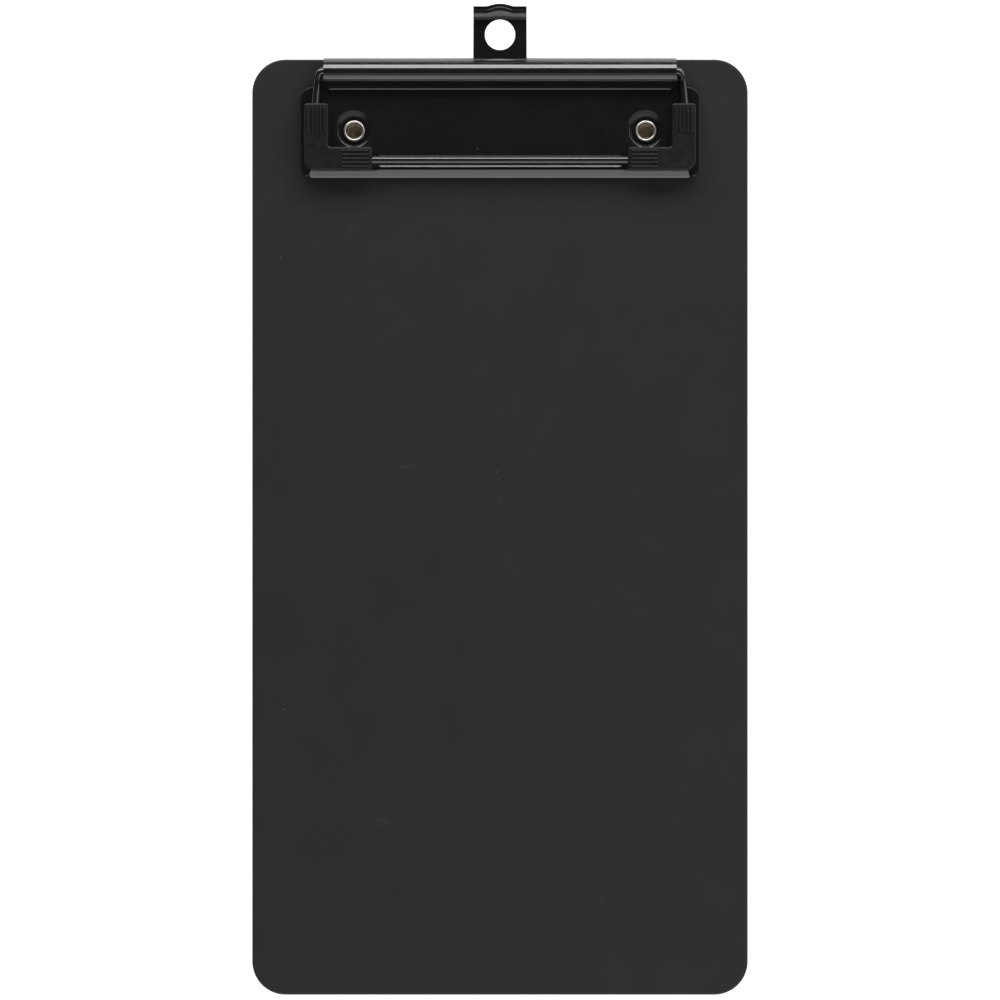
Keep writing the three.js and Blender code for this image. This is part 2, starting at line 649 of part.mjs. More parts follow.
// A hollow rivet: closed head in the board's back, shank, and a collar rolled over the dish floor.
function makeRivet(name, side) {
  const headBottom = RIVET_SINK - BOARD_THICKNESS;
  const headTop = headBottom + RIVET_HEAD_HEIGHT;
  const collarBottom = PLATE_SHEET + 0.05;
  const collarTop = collarBottom + RIVET_COLLAR_HEIGHT;
  const solid = toSolid(turned([
    [0, headBottom],
    [RIVET_HEAD_RADIUS - 0.4, headBottom],
    [RIVET_HEAD_RADIUS, headBottom + 0.3],
    [RIVET_HEAD_RADIUS - 0.3, headTop],
    [RIVET_SHANK_RADIUS, headTop],
    [RIVET_SHANK_RADIUS, collarBottom],
    [RIVET_COLLAR_RADIUS, collarBottom],
    [RIVET_COLLAR_RADIUS, collarBottom + 0.35],
    [RIVET_COLLAR_RADIUS - 0.15, collarTop - 0.12],
    [RIVET_COLLAR_RADIUS - 0.38, collarTop],
    [RIVET_BORE_RADIUS + 0.12, collarTop - 0.1],
    [RIVET_BORE_RADIUS, collarTop - 0.3],
    [RIVET_BORE_RADIUS, headTop + 0.2],
    [0, headTop + 0.2],
  ], 24));
  const mesh = makeMesh(name, toGeometry(solid), NICKEL);
  mesh.position.set(side * RIVET_X, RIVET_Y, 0);
  return mesh;
}

const group = new THREE.Group();
group.add(makeBoard());

const clip = new THREE.Group();
clip.position.set(0, HINGE_Y, BOARD_THICKNESS);
clip.add(makeBasePlate());
clip.add(makeRivet("rivet_left", -1));
clip.add(makeRivet("rivet_right", 1));
clip.add(makeHanger());
group.add(clip);

const leverGroup = new THREE.Group();
leverGroup.position.set(0, 0, HINGE_HEIGHT);
leverGroup.add(makeLever());
clip.add(leverGroup);

const bailGroup = new THREE.Group();
bailGroup.position.set(0, BAIL_Y, BAIL_Z);
bailGroup.add(makeBailWire());
bailGroup.add(makeCornerGrip("corner_grip_left", -1));
bailGroup.add(makeCornerGrip("corner_grip_right", 1));
leverGroup.add(bailGroup);

export default group;
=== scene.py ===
"""A slim black clipboard with a low wire clip, lying on a white table in soft studio light."""
import json
import math

import bmesh
import bpy
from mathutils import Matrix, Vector
from mathutils.geometry import tessellate_polygon


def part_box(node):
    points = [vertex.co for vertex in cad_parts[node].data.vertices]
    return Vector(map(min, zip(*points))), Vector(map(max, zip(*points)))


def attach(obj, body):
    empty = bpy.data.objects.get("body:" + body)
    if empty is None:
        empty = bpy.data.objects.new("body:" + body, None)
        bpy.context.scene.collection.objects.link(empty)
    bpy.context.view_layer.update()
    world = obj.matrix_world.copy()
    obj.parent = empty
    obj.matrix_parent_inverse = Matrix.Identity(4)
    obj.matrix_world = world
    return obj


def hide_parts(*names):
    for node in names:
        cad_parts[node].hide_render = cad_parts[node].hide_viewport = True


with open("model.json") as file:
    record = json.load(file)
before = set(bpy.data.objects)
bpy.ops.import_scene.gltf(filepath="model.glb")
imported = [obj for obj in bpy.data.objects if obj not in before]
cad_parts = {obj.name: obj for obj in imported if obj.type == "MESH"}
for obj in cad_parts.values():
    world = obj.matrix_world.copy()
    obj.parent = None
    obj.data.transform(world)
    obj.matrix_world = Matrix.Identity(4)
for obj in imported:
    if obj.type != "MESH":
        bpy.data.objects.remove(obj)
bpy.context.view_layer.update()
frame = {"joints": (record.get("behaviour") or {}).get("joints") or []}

MM = 0.001
SIDES = (-1, 1)
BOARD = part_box("board")
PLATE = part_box("base_plate")
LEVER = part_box("lever")
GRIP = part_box("corner_grip_right")
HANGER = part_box("hanger")
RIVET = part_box("rivet_right")
JOINTS = {joint["name"]: joint for joint in frame["joints"]}

# Lengths are in millimetres unless a comment says metres, and angles are in degrees.
BOARD_TOP = BOARD[1].z / MM
HINGE_Y = JOINTS["lever_flip"]["pos_m"][1] / MM
HINGE_Z = JOINTS["lever_flip"]["pos_m"][2] / MM
LEG_Y = JOINTS["bail_turn"]["pos_m"][1] / MM
LEG_Z = JOINTS["bail_turn"]["pos_m"][2] / MM
RIVET_X = (RIVET[0].x + RIVET[1].x) / 2 / MM
RIVET_Y = (RIVET[0].y + RIVET[1].y) / 2 / MM

BOARD_CORNER = 8.4
BOARD_EDGE = 0.45
RIVET_HOLE = 2.4
RECESS_RADIUS = 4.4
RECESS_DEPTH = 1.1
RECESS_RIM = 0.1

# Base plate: its heights are measured from the board's top face.
PLATE_HEIGHT = 1.8
PLATE_SHEET = 0.8
PLATE_FRONT = PLATE[0].y / MM
PLATE_HALF_WIDTH = PLATE[1].x / MM
PLATE_REAR = HINGE_Y - 5.9
PLATE_CORNER = 2.9
SHOULDER_REAR = HINGE_Y - 4.0
SHOULDER_HALF_WIDTH = 45.2
NECK_REAR = HINGE_Y - 2.2
NECK_HALF_WIDTH = 42.7
RIDGE_HALF_LENGTH = 31.0
RIDGE_FADE = 1.4        # length over which each end of the ridge rises
EAR_RADIUS = 0.75
EAR_THICKNESS = 0.7
EAR_EDGE = 0.08
STUB_RADIUS = 0.5
STUB_LENGTH = 0.9

# Lever: its heights and the lines along its section are measured from the hinge.
LEVER_SHEET = 0.6
FLANGE_TOP = 1.0
FLANGE_LIP = 0.42
FLANGE_HALF_WIDTH = 43.9
FLANGE_CORNER = 2.0
WALL_FILLET = 0.12
CHEEK_INNER = 43.0
CHEEK_OUTER = 43.6
CHEEK_EDGE = 0.06
CHEEK_RADIUS = 1.25
STUB_HOLE = 0.8
LEG_HOLE = 1.15
HOOD_CROWN = (-2.2, 0)
# The hood's outer face: (y from the hinge, tilt from level) along its section.
HOOD_TURN = (
    (-4.3, -87), (-4.24, -70), (-4.12, -50), (-3.9, -36), (-2.82, -15), HOOD_CROWN, (-1.5, 15),
    (-1.24, 22), (-0.2, 38), (0.42, 45), (0.69, 53), (0.97, 61), (1.25, 69), (1.5, 78), (1.58, 80),
)
HOOD_WALL = HOOD_TURN[0][0]

WIRE_RADIUS = 0.95
BAR_Y = -22.25
BAR_Z = -0.25
# Corners of the bail's centre line on the right: (x, y and z from the leg's axis).
BAIL_CORNERS = (
    (36.5, 0, 0), (44.1, 0, 0), (45.4, 0, 0), (45.6, -1.4, -0.4), (45.82, -2.94, -0.85),
    (46.1, -5.6, -0.45), (46.38, -8.26, -0.05), (46.5, -12.5, 0), (46.2, BAR_Y + 3, BAR_Z),
    (46.2, BAR_Y, BAR_Z), (43.2, BAR_Y, BAR_Z),
)

GRIP_LEG_ARM = 6.05     # width of the arm along the leg
GRIP_BAR_ARM = 5.8      # width of the arm along the front bar
GRIP_BELOW = 1.8        # depth of the grip under the leg's axis
GRIP_ABOVE = 1.3
GRIP_OUTER_CORNER = 2.6
GRIP_INNER_CORNER = 0.6
GRIP_END_CORNER = 0.7
GRIP_EDGE = 0.45
RIB_COUNT = 5
RIB_PITCH = 1.0
RIB_LENGTH = 6.8
RIB_HALF_WIDTH = 0.25
RIB_CORNER = 0.24
RIB_START = 0.8         # from the arm's end to the ribs
# (inset, height over the grip's top) down the side of a rib
RIB_RINGS = ((0.2, 0.28), (0.16, 0.27), (0.08, 0.22), (0.02, 0.12), (0.0, -0.2))

HANGER_SHEET = 0.45
HANGER_GAP = 0.05
HANGER_BEND = 3.6
TAB_HALF_WIDTH = 6.7
STOP_HALF_WIDTH = 9.0
STOP_CORNER = 0.3
STOP_REAR = HINGE_Y - 3.3
LIP_Y = HINGE_Y + 14.3
LIP_BULGE = 0.64
LIP_BULGE_HALF_WIDTH = 3.3
EYE_Y = HINGE_Y + 7.4
EYE_RADIUS = 3.82

RIVET_HEAD = 0.1        # the closed head's lowest face
RIVET_BORE = 1.98
RIVET_SHANK = 2.2
RIVET_FLARE = 2.55

SUPPORT = 0.05          # an extra ring this far inside a flat face keeps its shading flat
WELD = 1e-7             # metres; closer points become one
SHARP = 40              # edges with a greater turn than this stay sharp

VIEW_WIDTH = 0.2512     # metres across the picture at the board's top face
VIEW_CENTRE_Y = 0.0068  # metres
LENS = 200.0
SENSOR = 36.0

ROOM_STRENGTH = 0.05
LIGHT_DISTANCE = 1.3    # metres from the hinge
# (name, azimuth, elevation, width and height as seen from the clip, radiance); azimuth 0 is in
# front of the board's foot, 90 on the right and 180 behind the clip.
LIGHTS = (
    ("rear_key", 180, 31, 90, 27, 8.4),
    ("right_key", 112, 30, 44, 26, 2.6),
    ("front_low", 14, 13, 76, 18, 2.6),
    ("front_fill", 14, 36, 76, 28, 1.9),
    ("front_high", 14, 62, 70, 26, 0.5),
)
TABLE_HALF = 1600.0
TABLE_TOP = -0.03


# ---- Outlines -------------------------------------------------------------------------------

def rounded_outline(corners, longest=4.0, arc_step=math.radians(9)):
    """A polygon's points from corners (x, y, radius), counter-clockwise, long sides divided."""
    points = []
    for i, (x, y, radius) in enumerate(corners):
        here = Vector((x, y))
        to_last = (Vector(corners[i - 1][:2]) - here).normalized()
        to_next = (Vector(corners[(i + 1) % len(corners)][:2]) - here).normalized()
        half = to_last.angle(to_next) / 2
        centre = here + (to_last + to_next).normalized() * radius / math.sin(half)
        start = here + to_last * radius / math.tan(half) - centre
        end = here + to_next * radius / math.tan(half) - centre
        sweep = start.angle_signed(end, 0.0)
        steps = max(2, round(abs(sweep) / arc_step))
        first = math.atan2(start.y, start.x)
        for k in range(steps + 1):
            angle = first - sweep * k / steps
            points.append(centre + Vector((math.cos(angle), math.sin(angle))) * radius)
    divided = []
    for i, point in enumerate(points):
        following = points[(i + 1) % len(points)]
        pieces = max(1, math.ceil((following - point).length / longest))
        divided += [point.lerp(following, k / pieces) for k in range(pieces)]
    return divided


def both_sides(half):
    """Corners of the right half, followed by their mirror images."""
    return half + [(-x, y, radius) for x, y, radius in reversed(half)]


def inset(outline, distances):
    """The outline moved inwards, each point by its own distance."""
    moved = []
    for i, point in enumerate(outline):
        before = (point - outline[i - 1]).normalized()
        after = (outline[(i + 1) % len(outline)] - point).normalized()
        normal = (Vector((-before.y, before.x)) + Vector((-after.y, after.x))).normalized()
        reach = distances[i] / max(0.4, normal.dot(Vector((-before.y, before.x))))
        moved.append(point + normal * reach)
    return moved


def arc(centre, radius, start, end, steps):
    """Points of an arc or, with two radii, of an elliptic arc; angles in degrees."""
    across, up = radius if isinstance(radius, tuple) else (radius, radius)
    turn = [math.radians(start + (end - start) * k / steps) for k in range(steps + 1)]
    return [(centre[0] + across * math.cos(a), centre[1] + up * math.sin(a)) for a in turn]


def smooth(value):
    value = min(1.0, max(0.0, value))
    return value * value * (3 - 2 * value)


# ---- Meshes ---------------------------------------------------------------------------------

class Shape:
    """Vertices and faces in millimetres, gathered before they become one object."""

    def __init__(self):
        self.points = []
        self.faces = []

    def ring(self, points):
        first = len(self.points)
        self.points += [tuple(p) for p in points]
        return list(range(first, len(self.points)))

    def bridge(self, lower, upper, closed=True):
        count = len(lower)
        for i in range(count if closed else count - 1):
            j = (i + 1) % count
            self.faces.append((lower[i], lower[j], upper[j], upper[i]))

    def loft(self, rings, closed=True):
        indices = [self.ring(ring) for ring in rings]
        for lower, upper in zip(indices, indices[1:]):
            self.bridge(lower, upper, closed)
        return indices

    def cap(self, *loops):
        """Fills the flat space inside the first loop and outside the others."""
        flat = [[Vector(self.points[i]) for i in loop] for loop in loops]
        order = [i for loop in loops for i in loop]
        self.faces += [tuple(order[i] for i in face) for face in tessellate_polygon(flat)]


def add_object(name, shape):
    """Links a new object with the shape as its mesh."""
    mesh = bpy.data.meshes.new(name)
    mesh.from_pydata([tuple(c * MM for c in p) for p in shape.points], [], shape.faces)
    item = bpy.data.objects.new(name, mesh)
    bpy.context.scene.collection.objects.link(item)
    return item


def weld(mesh):
    """Makes points at the same place one point, and turns the faces outwards."""
    work = bmesh.new()
    work.from_mesh(mesh)
    bmesh.ops.remove_doubles(work, verts=work.verts, dist=WELD)
    bmesh.ops.recalc_face_normals(work, faces=work.faces)
    work.to_mesh(mesh)
    work.free()


def shade(mesh):
    mesh.shade_smooth()
    mesh.set_sharp_from_angle(angle=math.radians(SHARP))


def make_piece(name, shape, body, material, node, bevel=0.0):
    """Turns a shape into an object that rides on a CAD body and stands for a CAD node."""
    piece = add_object(name, shape)
    mesh = piece.data
    weld(mesh)
    shade(mesh)
    if bevel:
        rounding = piece.modifiers.new("rounded edges", "BEVEL")
        rounding.width = bevel * MM
        rounding.segments = 3
        rounding.limit_method = "ANGLE"
        rounding.angle_limit = math.radians(SHARP)
        rounding.harden_normals = True
    mesh.materials.append(material)
    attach(piece, body)
    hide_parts(node)
    return piece


def edge_rings(low, high, edge, steps=4):
    """(inset, height) down the side of a slab with rounded top and bottom edges."""
    top = [(edge + SUPPORT, high)]
    top += [(edge - edge * math.sin(a), high - edge + edge * math.cos(a)) for a in quarter(steps)]
    bottom = [(edge - edge * math.cos(a), low + edge - edge * math.sin(a)) for a in quarter(steps)]
    return top + bottom + [(edge + SUPPORT, low)]


def quarter(steps):
    return [math.pi / 2 * k / steps for k in range(steps + 1)]


def add_slab(shape, outline, rings, place, holes=()):
    """A flat piece: rings run down its side, and each hole is (x, y, [(radius, height), ...])."""
    count = len(outline)
    side = shape.loft([
        [place(p.x, p.y, height) for p in inset(outline, [distance] * count)]
        for distance, height in rings
    ])
    tops, bottoms = [side[0]], [side[-1]]
    for x, y, profile in holes:
        bore = shape.loft([circle(x, y, radius, height, place) for radius, height in profile])
        tops.append(bore[0])
        bottoms.append(bore[-1])
    shape.cap(*tops)
    shape.cap(*bottoms)


def circle(x, y, radius, height, place, sides=64):
    turn = [2 * math.pi * k / sides for k in range(sides)]
    return [place(x + radius * math.cos(a), y + radius * math.sin(a), height) for a in turn]


def in_plan(x, y, z):
    return (x, y, z)


def hole_rings(radius, low, high, edge, steps=3):
    """(radius, height) down a plain hole with rounded rims."""
    return [(radius + distance, height) for distance, height in edge_rings(low, high, edge, steps)]


def add_sheet(shape, outer, inner, half_width, columns):
    """A bent sheet: two matching lines of (y, z), swept across X to half_width(i) at point i."""
    grids = []
    for line in (outer, inner):
        rows = []
        for i, (y, z) in enumerate(line):
            reach = half_width(i)
            across = [reach * (2 * c / columns - 1) for c in range(columns + 1)]
            rows.append(shape.ring([(x, y, z) for x in across]))
        grids.append(rows)
        for lower, upper in zip(rows, rows[1:]):
            shape.bridge(lower, upper, closed=False)
    upper_face, lower_face = grids
    for row in (0, -1):
        shape.bridge(upper_face[row], lower_face[row], closed=False)
    for column in (0, -1):
        shape.bridge([r[column] for r in upper_face], [r[column] for r in lower_face], closed=False)


def add_tube(shape, path, radius, sides=28, round_end=0.3):
    """A round rod along a path, with slightly rounded ends."""
    tangents = []
    for i in range(len(path)):
        before, after = path[max(0, i - 1)], path[min(len(path) - 1, i + 1)]
        tangents.append((after - before).normalized())
    side = tangents[0].orthogonal().normalized()
    frames = []
    for tangent in tangents:
        side = (side - tangent * side.dot(tangent)).normalized()
        frames.append((side, tangent.cross(side)))
    stops = [(0, 0.0, radius - round_end), (0, round_end, radius)]
    stops += [(i, 0.0, radius) for i in range(1, len(path) - 1)]
    stops += [(len(path) - 1, -round_end, radius), (len(path) - 1, 0.0, radius - round_end)]
    rings = []
    for i, ahead, reach in stops:
        centre = path[i] + tangents[i] * ahead
        a, b = frames[i]
        turn = [2 * math.pi * k / sides for k in range(sides)]
        rings.append([centre + (a * math.cos(t) + b * math.sin(t)) * reach for t in turn])
    indices = shape.loft(rings)
    shape.faces.append(tuple(indices[0]))
    shape.faces.append(tuple(indices[-1]))


# ---- Materials ------------------------------------------------------------------------------

class Nodes:
    """A short way to write a procedural material."""

    def __init__(self, name, colour, roughness, metallic=0.0):
        self.material = bpy.data.materials.new(name)
        self.material.use_nodes = True
        self.tree = self.material.node_tree
        self.shader = self.tree.nodes["Principled BSDF"]
        self.shader.inputs["Metallic"].default_value = metallic
        self.shader.inputs["Base Color"].default_value = (*colour, 1)
        self.shader.inputs["Roughness"].default_value = roughness
        self.place = self.add("ShaderNodeTexCoord").outputs["Object"]

    def add(self, kind, **settings):
        node = self.tree.nodes.new(kind)
        for key, value in settings.items():
            setattr(node, key, value)
        return node

    def link(self, source, target):
        self.tree.links.new(source, target)

    def stretched(self, scale):
        """The object's coordinates multiplied by scale along each axis."""
        mapping = self.add("ShaderNodeMapping")
        mapping.inputs["Scale"].default_value = scale
        self.link(self.place, mapping.inputs["Vector"])
        return mapping.outputs["Vector"]

    def noise(self, size_mm, detail=3.0, rough=0.5, stretch=(1, 1, 1)):
        """Noise from 0 to 1 whose blobs are about size_mm across."""
        node = self.add("ShaderNodeTexNoise")
        node.inputs["Scale"].default_value = 1 / (size_mm * MM)
        node.inputs["Detail"].default_value = detail
        node.inputs["Roughness"].default_value = rough
        self.link(self.stretched(stretch), node.inputs["Vector"])
        return node.outputs["Fac"]

    def specks(self, size_mm, radius):
        """1 inside sparse round specks, 0 elsewhere."""
        node = self.add("ShaderNodeTexVoronoi")
        node.inputs["Scale"].default_value = 1 / (size_mm * MM)
        self.link(self.place, node.inputs["Vector"])
        dot = self.spread(node.outputs["Distance"], radius, radius * 0.5)
        chosen = self.add("ShaderNodeSeparateColor")
        self.link(node.outputs["Color"], chosen.inputs["Color"])
        return self.times(dot, self.spread(chosen.outputs["Red"], 0.7, 0.8))

    def scratches(self, stretch, width, size_mm=6.0):
        """1 on thin broken lines, 0 elsewhere."""
        field = self.noise(size_mm, 1.0, 0.4, stretch)
        away = self.add("ShaderNodeMath", operation="SUBTRACT")
        away.inputs[1].default_value = 0.5
        self.link(field, away.inputs[0])
        size = self.add("ShaderNodeMath", operation="ABSOLUTE")
        self.link(away.outputs[0], size.inputs[0])
        line = self.spread(size.outputs[0], width, 0.0)
        return self.times(line, self.spread(self.noise(9.0, 2.0), 0.55, 0.68))

    def spread(self, value, low, high, out_low=0.0, out_high=1.0):
        """value mapped from low..high to out_low..out_high, held at both ends."""
        node = self.add("ShaderNodeMapRange", clamp=True)
        limits = {"From Min": low, "From Max": high, "To Min": out_low, "To Max": out_high}
        for key, number in limits.items():
            node.inputs[key].default_value = number
        self.link(value, node.inputs["Value"])
        return node.outputs["Result"]

    def times(self, a, b):
        node = self.add("ShaderNodeMath", operation="MULTIPLY")
        self.link(a, node.inputs[0])
        self.link(b, node.inputs[1])
        return node.outputs[0]

    def plus(self, a, b):
        node = self.add("ShaderNodeMath", operation="ADD")
        self.link(a, node.inputs[0])
        self.link(b, node.inputs[1])
        return node.outputs[0]

    def blend(self, factor, first, second):
        """A colour from first to second; each is a colour or another blend's output."""
        node = self.add("ShaderNodeMix", data_type="RGBA")
        self.link(factor, node.inputs[0])
        for socket, colour in ((node.inputs[6], first), (node.inputs[7], second)):
            if isinstance(colour, tuple):
                socket.default_value = (*colour, 1)
            else:
                self.link(colour, socket)
        return node.outputs[2]

    def bump(self, height, depth_mm, before=None):
        node = self.add("ShaderNodeBump")
        node.inputs["Strength"].default_value = 1.0
        node.inputs["Distance"].default_value = depth_mm * MM
        self.link(height, node.inputs["Height"])
        if before is not None:
            self.link(before, node.inputs["Normal"])
        return node.outputs["Normal"]

    def worn_edges(self, radius_mm, low=0.04, high=0.3):
        """1 on sharp outer edges, 0 on flat faces."""
        rounded = self.add("ShaderNodeBevel", samples=6)
        rounded.inputs["Radius"].default_value = radius_mm * MM
        plain = self.add("ShaderNodeNewGeometry")
        turn = self.add("ShaderNodeVectorMath", operation="DOT_PRODUCT")
        self.link(rounded.outputs["Normal"], turn.inputs[0])
        self.link(plain.outputs["Normal"], turn.inputs[1])
        return self.spread(turn.outputs["Value"], 1 - low, 1 - high)

    def finish(self, colour=None, roughness=None, normal=None):
        for key, source in (("Base Color", colour), ("Roughness", roughness), ("Normal", normal)):
            if source is not None:
                self.link(source, self.shader.inputs[key])
        return self.material


def board_material():
    m = Nodes("board_plastic", (0.014, 0.014, 0.015), 0.5)
    m.shader.inputs["Specular IOR Level"].default_value = 0.3
    mottle = m.noise(22.0, 4.0, 0.6)
    darker, lighter = (0.0109, 0.0109, 0.0117), (0.0119, 0.0119, 0.0127)
    colour = m.blend(m.spread(mottle, 0.35, 0.65), darker, lighter)
    grain = m.noise(0.35, 2.0, 0.7)
    colour = m.blend(m.spread(grain, 0.62, 0.8, 0.0, 0.25), colour, (0.026, 0.026, 0.028))
    dust = m.specks(6.0, 0.04)
    lines = m.plus(m.scratches((1, 0.05, 1), 0.0025), m.scratches((0.06, 1, 1), 0.0015, 9.0))
    marks = m.plus(m.spread(dust, 0.0, 1.0, 0.0, 0.9), m.spread(lines, 0.0, 1.0, 0.0, 0.12))
    colour = m.blend(marks, colour, (0.09, 0.09, 0.095))
    roughness = m.spread(m.noise(6.0, 4.0, 0.65), 0.3, 0.7, 0.5, 0.54)
    normal = m.bump(grain, 0.008, m.bump(m.noise(3.0, 3.0, 0.6), 0.012))
    return m.finish(colour, roughness, normal)


def paint_material(name, scuff=0.25):
    m = Nodes(name, (0.008, 0.008, 0.008), 0.16)
    m.shader.inputs["Coat Weight"].default_value = 0.35
    m.shader.inputs["Coat Roughness"].default_value = 0.08
    tone = m.spread(m.noise(9.0, 3.0), 0.3, 0.7)
    colour = m.blend(tone, (0.0044, 0.0044, 0.0042), (0.0066, 0.0065, 0.0062))
    dust = m.spread(m.specks(5.0, 0.045), 0.0, 1.0, 0.0, 0.5)
    colour = m.blend(dust, colour, (0.18, 0.17, 0.15))
    chips = m.times(m.worn_edges(0.12), m.spread(m.noise(0.7, 3.0, 0.7), 0.56, 0.66, 0.0, scuff))
    colour = m.blend(chips, colour, (0.3, 0.29, 0.27))
    roughness = m.spread(m.noise(4.0, 4.0, 0.6), 0.3, 0.75, 0.12, 0.24)
    normal = m.bump(m.noise(1.1, 2.0, 0.5), 0.0015, m.bump(m.noise(16.0, 1.0, 0.4), 0.04))
    return m.finish(colour, roughness, normal)


def grip_material():
    m = Nodes("grip_plastic", (0.006, 0.006, 0.006), 0.5)
    m.shader.inputs["Specular IOR Level"].default_value = 0.25
    tone = m.spread(m.noise(2.5, 4.0, 0.6), 0.3, 0.7)
    colour = m.blend(tone, (0.0048, 0.0048, 0.0049), (0.0068, 0.0068, 0.0069))
    scuffs = m.scratches((1, 0.12, 1), 0.012, 1.6)
    colour = m.blend(m.spread(scuffs, 0.0, 1.0, 0.0, 0.3), colour, (0.06, 0.06, 0.06))
    rubbed = m.times(m.worn_edges(0.15), m.spread(m.noise(0.9, 3.0, 0.6), 0.4, 0.65, 0.05, 0.4))
    colour = m.blend(rubbed, colour, (0.06, 0.06, 0.06))
    roughness = m.spread(m.noise(1.5, 4.0, 0.6), 0.3, 0.7, 0.38, 0.52)
    normal = m.bump(m.noise(0.5, 3.0, 0.7), 0.012)
    return m.finish(colour, roughness, normal)


def rivet_material():
    m = Nodes("rivet_nickel", (0.66, 0.63, 0.57), 0.2, 1.0)
    depth = m.add("ShaderNodeSeparateXYZ")
    m.link(m.place, depth.inputs["Vector"])
    # Below the collar's foot, in the rivet's hollow and on its head under the board, the colour is
    # darker and browner and the surface rougher.
    collar_foot = (BOARD_TOP + PLATE_SHEET + 0.15) * MM
    sunk = m.spread(depth.outputs["Z"], collar_foot, collar_foot - 0.5 * MM)
    tarnish = m.spread(m.noise(1.2, 4.0, 0.65), 0.35, 0.65)
    light_tarnish = m.spread(tarnish, 0.0, 1.0, 0.0, 0.4)
    bright = m.blend(light_tarnish, (0.52, 0.505, 0.46), (0.42, 0.395, 0.34))
    dull = m.blend(tarnish, (0.24, 0.195, 0.135), (0.37, 0.33, 0.26))
    roughness = m.spread(m.plus(tarnish, sunk), 0.0, 2.0, 0.32, 0.55)
    normal = m.bump(m.noise(0.35, 3.0, 0.6), 0.008)
    return m.finish(m.blend(sunk, bright, dull), roughness, normal)


def table_material():
    m = Nodes("table_white", (0.64, 0.64, 0.64), 0.9)
    m.shader.inputs["Specular IOR Level"].default_value = 0.1
    m.shader.inputs["Emission Color"].default_value = (1, 1, 1, 1)
    m.shader.inputs["Emission Strength"].default_value = 0.75
    shade = m.spread(m.noise(120.0, 3.0), 0.3, 0.7)
    return m.finish(m.blend(shade, (0.63, 0.63, 0.63), (0.65, 0.65, 0.65)))


# ---- The pieces -----------------------------------------------------------------------------

def make_board(material):
    half_x, half_y = BOARD[1].x / MM, BOARD[1].y / MM
    outline = rounded_outline([
        (half_x, -half_y, BOARD_CORNER),
        (half_x, half_y, BOARD_CORNER),
        (-half_x, half_y, BOARD_CORNER),
        (-half_x, -half_y, BOARD_CORNER),
    ], longest=12.0, arc_step=math.radians(3))
    hole = [
        (RIVET_HOLE + SUPPORT, BOARD_TOP),
        (RIVET_HOLE, BOARD_TOP),
        (RIVET_HOLE, RECESS_DEPTH),
        (RECESS_RADIUS, RECESS_DEPTH),
        (RECESS_RADIUS, RECESS_RIM),
        (RECESS_RADIUS + RECESS_RIM, 0.0),
        (RECESS_RADIUS + 2 * RECESS_RIM, 0.0),
    ]
    shape = Shape()
    holes = [(side * RIVET_X, RIVET_Y, hole) for side in SIDES]
    add_slab(shape, outline, edge_rings(0.0, BOARD_TOP, BOARD_EDGE, 5), in_plan, holes)
    return make_piece("board_sheet", shape, "frame", material, "board")


def plate_profiles():
    """Matching lists of (inset, height) over the plate's rim: sides, plain front and ridge."""
    crest = [(2.1, 1.935), (2.2, 1.95), (2.3, 1.94), (2.42, 1.89), (2.62, 1.775), (2.82, 1.66)]
    groove = [(3.02, 1.545), (3.2, 1.45), (3.34, 1.4), (3.46, 1.375), (4.9, 1.37), (5.2, 1.38)]
    step = [(5.34, 1.42), (5.46, 1.54), (5.56, 1.68), (5.66, 1.76)]
    step += [(5.8, PLATE_HEIGHT), (5.9, PLATE_HEIGHT)]
    ridge = [(0.0, 0.0), (0.0, 0.3), (0.0, 0.45), (0.04, 0.58), (0.14, 0.68), (0.57, 0.97)]
    ridge += [(1.0, 1.26), (1.43, 1.55), (1.85, 1.83), *crest, *groove, *step]
    front = [(0.0, 0.0), (0.0, 0.3), (0.0, 0.48), (0.04, 0.6), (0.14, 0.7), (0.57, 0.99)]
    front += [(1.0, 1.25), (1.3, 1.42), (1.6, 1.565), (1.75, 1.63), (1.9, 1.685)]
    front += [(2.05, 1.73), (2.2, 1.765)]
    front += [(2.35, PLATE_HEIGHT - 0.013), (2.5, PLATE_HEIGHT - 0.003)]
    front += [(2.6 + 0.01 * k, PLATE_HEIGHT) for k in range(len(ridge) - len(front))]
    side = [(0.0, 0.0), (0.0, 0.3), (0.0, 0.7), (0.01, 1.1)]
    side += arc((0.09, PLATE_HEIGHT - 0.09), 0.09, 180, 90, 8)
    side += [(0.2 + 0.01 * k, PLATE_HEIGHT) for k in range(len(ridge) - len(side))]
    return side, front, ridge


